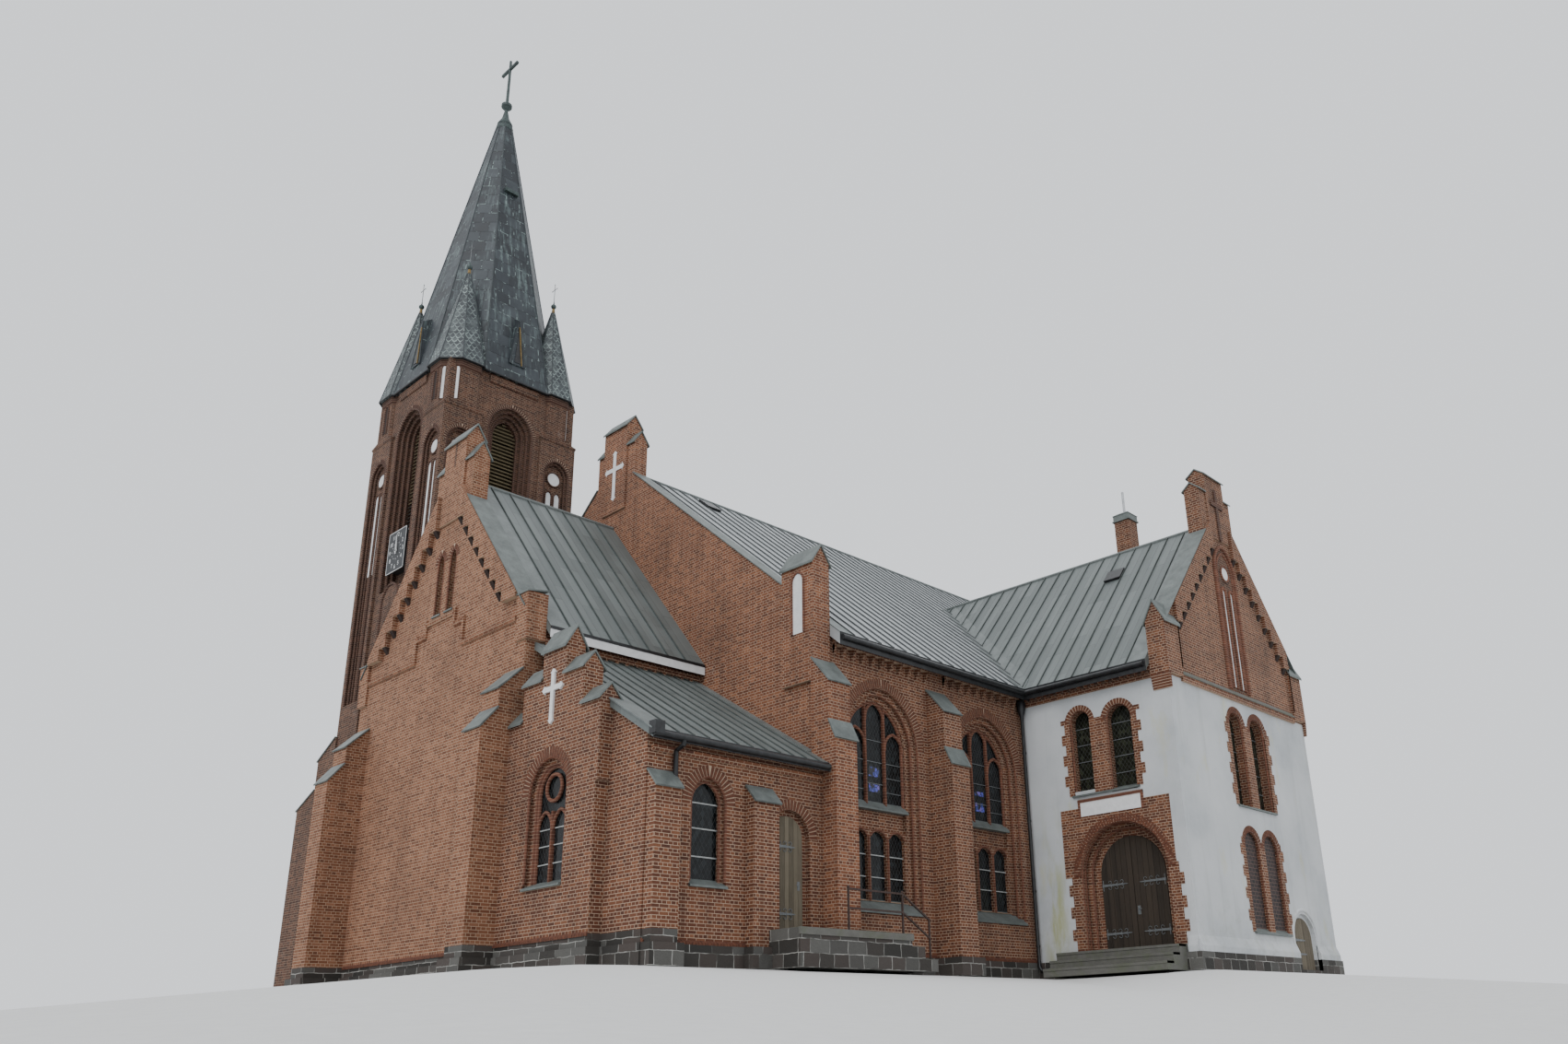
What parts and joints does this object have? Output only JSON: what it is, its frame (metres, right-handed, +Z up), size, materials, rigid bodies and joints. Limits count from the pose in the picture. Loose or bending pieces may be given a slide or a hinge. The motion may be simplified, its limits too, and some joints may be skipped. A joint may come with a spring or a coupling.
{
  "type": "brick church building",
  "caption": "Brick church with a corner tower and spire, a chancel, a lean-to sacristy and plastered transepts with hinged doors.",
  "frame": {"origin": "middle of the bounding box, at the lowest ground", "axes": "+X runs west along the nave away from the chancel, +Y runs north, +Z is up"},
  "size_m": [32.6, 28.14, 36.76],
  "materials": {
    "brick": "fired brick with pale mortar joints",
    "plaster": "rough lime plaster, stained",
    "granite": "cut granite blocks with white joints",
    "roof_metal": "grey-green standing seam sheet",
    "slate": "slates with verdigris streaks",
    "door_wood": "weathered boards",
    "leaded_glass": "dark leaded panes",
    "iron": "black painted",
    "gilt": "worn gilding",
    "dial": "matt dial",
    "dial_white": "white paint",
    "louvre": "weathered boards"
  },
  "bodies": {
    "church": {"church_base": "granite", "sacristy_landing": "granite", "transept_steps": "granite", "nave_east_gable": "brick", "nave_west_gable": "brick", "nave_south_east_wall": "brick", "nave_south_west_wall": "brick", "nave_north_east_wall": "brick", "nave_north_west_wall": "brick", "chancel_gable": "brick", "chancel_south_wall": "brick", "chancel_north_wall": "brick", "sacristy_front_wall": "brick", "sacristy_south_wall": "brick", "sacristy_door_head": "brick", "sacristy_door_pier": "brick", "tower_east_wall": "brick", "tower_west_wall": "brick", "tower_south_wall": "brick", "tower_north_wall": "brick", "chimney": "brick", "south_transept_gable": "plaster", "south_transept_door_pier": "plaster", "south_transept_upper_wall": "plaster", "south_transept_west_wall": "plaster", "north_transept_gable": "plaster", "north_transept_east_wall": "plaster", "north_transept_west_wall": "plaster", "nave_roof_south": "roof_metal", "nave_roof_north": "roof_metal", "south_transept_roof_east": "roof_metal", "south_transept_roof_west": "roof_metal", "north_transept_roof_east": "roof_metal", "north_transept_roof_west": "roof_metal", "chancel_roof_south": "roof_metal", "chancel_roof_north": "roof_metal", "sacristy_roof": "roof_metal", "spire": "slate", "spire_cross": "gilt", "bell_louvres": "louvre", "clock_dial": "dial", "sacristy_railing": "iron", "nave_south_east_glass": "leaded_glass", "nave_north_east_glass": "leaded_glass", "nave_west_glass": "leaded_glass", "south_transept_glass": "leaded_glass", "north_transept_glass": "leaded_glass", "chancel_glass": "leaded_glass", "sacristy_front_glass": "leaded_glass", "sacristy_south_glass": "leaded_glass"},
    "big_door_south": {"transept_door_leaf_south": "door_wood"},
    "big_door_north": {"transept_door_leaf_north": "door_wood"},
    "gable_door": {"gable_door": "door_wood"},
    "sacristy_door": {"sacristy_door": "door_wood"},
    "minute_hand": {"clock_minute_hand": "dial_white"},
    "hour_hand": {"clock_hour_hand": "dial_white"}
  },
  "joints": [
    {"name": "big_door_south_hinge", "type": "hinge", "parent": "church", "child": "big_door_south", "pos_m": [-0.682, -12.998, 2], "axis": [0, 0, 1], "range_deg": [0, 90]},
    {"name": "big_door_north_hinge", "type": "hinge", "parent": "church", "child": "big_door_north", "pos_m": [-0.682, -10.982, 2], "axis": [0, 0, -1], "range_deg": [0, 90]},
    {"name": "gable_door_hinge", "type": "hinge", "parent": "church", "child": "gable_door", "pos_m": [4.708, -13.872, 0.8], "axis": [0, 0, -1], "range_deg": [0, 90]},
    {"name": "sacristy_door_hinge", "type": "hinge", "parent": "church", "child": "sacristy_door", "pos_m": [-11.48, -9.142, 2], "axis": [0, 0, -1], "range_deg": [0, 90]},
    {"name": "minute_hand_spin", "type": "hinge", "parent": "church", "child": "minute_hand", "pos_m": [-13.45, 7.1, 14.33], "axis": [1, 0, 0], "continuous": true},
    {"name": "hour_hand_spin", "type": "hinge", "parent": "church", "child": "hour_hand", "pos_m": [-13.45, 7.1, 14.33], "axis": [1, 0, 0], "continuous": true}
  ],
  "couplings": [
    {"joint": "hour_hand_spin", "follows": "minute_hand_spin", "ratio": 0.083333}
  ]
}
